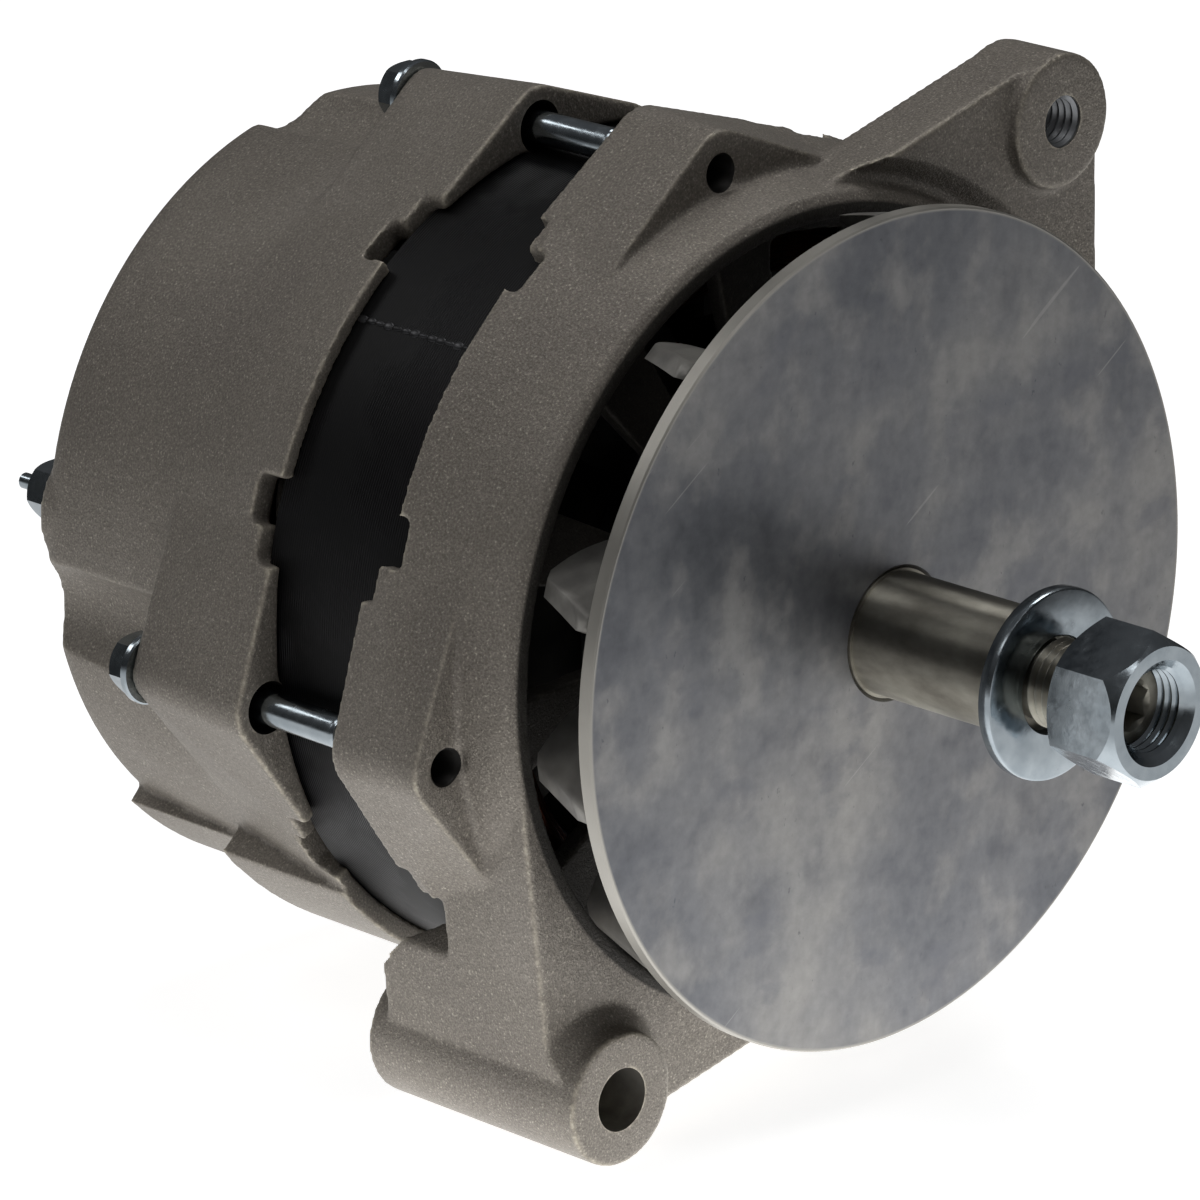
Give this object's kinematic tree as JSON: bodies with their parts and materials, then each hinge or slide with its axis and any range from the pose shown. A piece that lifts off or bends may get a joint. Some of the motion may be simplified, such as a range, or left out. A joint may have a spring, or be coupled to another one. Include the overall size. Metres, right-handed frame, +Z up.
{
  "type": "engine alternator",
  "caption": "Engine alternator with two cast frames joined by long through bolts, a curved-blade fan, a bare pulley shaft with washer and nut, and two mounting lugs.",
  "frame": {"origin": "on the shaft axis, in the plane of the fan's front face, where the pulley seats", "axes": "+Z up as mounted, shaft along Y with the drive end towards -Y, +X to the right seen from the drive end"},
  "size_m": [0.1746, 0.2218, 0.1786],
  "materials": {
    "frame_casting": "shot-blasted sand casting",
    "lamination_steel": "stack of varnished laminations",
    "copper_wire": "enamelled copper wire",
    "zinc_steel": "zinc plated steel",
    "bare_steel": "plain steel",
    "bearing_steel": "ground bearing steel",
    "brass_cage": "pressed brass",
    "black_rubber": "moulded rubber",
    "turned_steel": "turned steel with a thin oil film",
    "pole_steel": "forged pole steel",
    "nylon": "natural nylon moulding",
    "black_moulding": "black phenolic moulding",
    "copper_ring": "polished copper",
    "fan_metal": "cast plate with a stained, turned face",
    "carbon": "pressed carbon",
    "plate_aluminium": "plain aluminium",
    "diode_metal": "nickel plated can"
  },
  "bodies": {
    "frame": {"drive_end_frame": "frame_casting", "rear_frame": "frame_casting", "stator_core": "lamination_steel", "stator_windings": "copper_wire", "through_bolts": "zinc_steel", "bolt_washers": "zinc_steel", "bearing_retainer": "bare_steel", "retainer_screws": "zinc_steel", "front_bearing_outer": "bearing_steel", "front_bearing_seals": "black_rubber", "rear_bearing_outer": "bearing_steel", "brush_holder": "black_moulding", "front_brush_spring": "bare_steel", "rear_brush_spring": "bare_steel", "positive_heat_sink": "plate_aluminium", "negative_heat_sink": "plate_aluminium", "positive_diodes": "diode_metal", "negative_diodes": "diode_metal", "phase_leads": "copper_wire", "voltage_regulator": "black_moulding", "capacitor": "plate_aluminium", "output_stud": "zinc_steel", "stud_insulator": "black_moulding", "terminal_washers": "zinc_steel", "terminal_nut": "zinc_steel"},
    "rotor": {"rotor_shaft": "turned_steel", "rotor_core": "pole_steel", "front_pole": "pole_steel", "rear_pole": "pole_steel", "coil_bobbin": "nylon", "field_coil": "copper_wire", "field_leads": "copper_wire", "slip_ring_sleeve": "black_moulding", "front_slip_ring": "copper_ring", "rear_slip_ring": "copper_ring", "fan": "fan_metal", "fan_spacer": "turned_steel", "pulley_washer": "zinc_steel", "pulley_nut": "zinc_steel", "front_bearing_inner": "bearing_steel", "rear_bearing_inner": "bearing_steel"},
    "front_balls": {"front_bearing_balls": "bearing_steel", "front_bearing_cage": "brass_cage"},
    "rear_balls": {"rear_bearing_balls": "bearing_steel", "rear_bearing_cage": "brass_cage"},
    "brush_a": {"front_brush": "carbon"},
    "brush_b": {"rear_brush": "carbon"}
  },
  "joints": [
    {"name": "rotor_spin", "type": "hinge", "parent": "frame", "child": "rotor", "pos_m": [0, 0.09, 0], "axis": [0, 1, 0], "continuous": true},
    {"name": "front_ball_spin", "type": "hinge", "parent": "frame", "child": "front_balls", "pos_m": [0, 0.027, 0], "axis": [0, 1, 0], "continuous": true},
    {"name": "rear_ball_spin", "type": "hinge", "parent": "frame", "child": "rear_balls", "pos_m": [0, 0.127, 0], "axis": [0, 1, 0], "continuous": true},
    {"name": "front_brush_slide", "type": "slide", "parent": "frame", "child": "brush_a", "axis": [0, 0, 1], "range_m": [0, 0.005], "stiffness_N_per_m": 300, "springref_m": -0.006, "deforming": ["front_brush_spring"]},
    {"name": "rear_brush_slide", "type": "slide", "parent": "frame", "child": "brush_b", "axis": [0, 0, 1], "range_m": [0, 0.005], "stiffness_N_per_m": 300, "springref_m": -0.006, "deforming": ["rear_brush_spring"]}
  ],
  "couplings": [
    {"joint": "front_ball_spin", "follows": "rotor_spin", "ratio": 0.3736},
    {"joint": "rear_ball_spin", "follows": "rotor_spin", "ratio": 0.3825}
  ]
}
